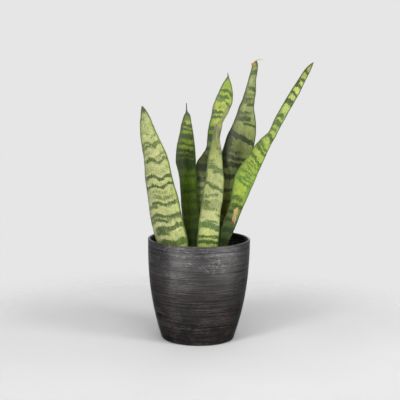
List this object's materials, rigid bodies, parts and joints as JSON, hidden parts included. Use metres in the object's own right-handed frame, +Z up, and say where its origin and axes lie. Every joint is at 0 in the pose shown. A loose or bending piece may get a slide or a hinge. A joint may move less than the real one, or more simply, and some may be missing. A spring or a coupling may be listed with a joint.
{
  "type": "potted snake plant",
  "caption": "Snake plant with upright banded leaves in a nursery pot that stands, and lifts out, inside a round brushed dark metal planter.",
  "frame": {"origin": "centre of the planter's flat underside, on the surface that it stands on", "axes": "+Z up along the planter's axis, -Y the front seen in the picture, +X to the right as seen from the front"},
  "size_m": [0.2103, 0.127, 0.3459],
  "materials": {
    "planter": "satin",
    "grow_pot": "matte",
    "potting_mix": "matte",
    "rhizome": "matte",
    "leaf_front_left": "satin",
    "leaf_dark_left": "satin",
    "leaf_tall_centre": "satin",
    "leaf_front_centre": "satin",
    "leaf_tall_rear": "satin",
    "leaf_leaning_right": "satin"
  },
  "bodies": {
    "planter_body": {"planter": "planter"},
    "plant_body": {"grow_pot": "grow_pot", "potting_mix": "potting_mix", "rhizome": "rhizome", "leaf_front_left": "leaf_front_left", "leaf_dark_left": "leaf_dark_left", "leaf_tall_centre": "leaf_tall_centre", "leaf_front_centre": "leaf_front_centre", "leaf_tall_rear": "leaf_tall_rear", "leaf_leaning_right": "leaf_leaning_right"}
  },
  "joints": [
    {"name": "plant_lift", "type": "slide", "parent": "planter_body", "child": "plant_body", "axis": [0, 0, 1], "range_m": [0, 0.13]}
  ]
}
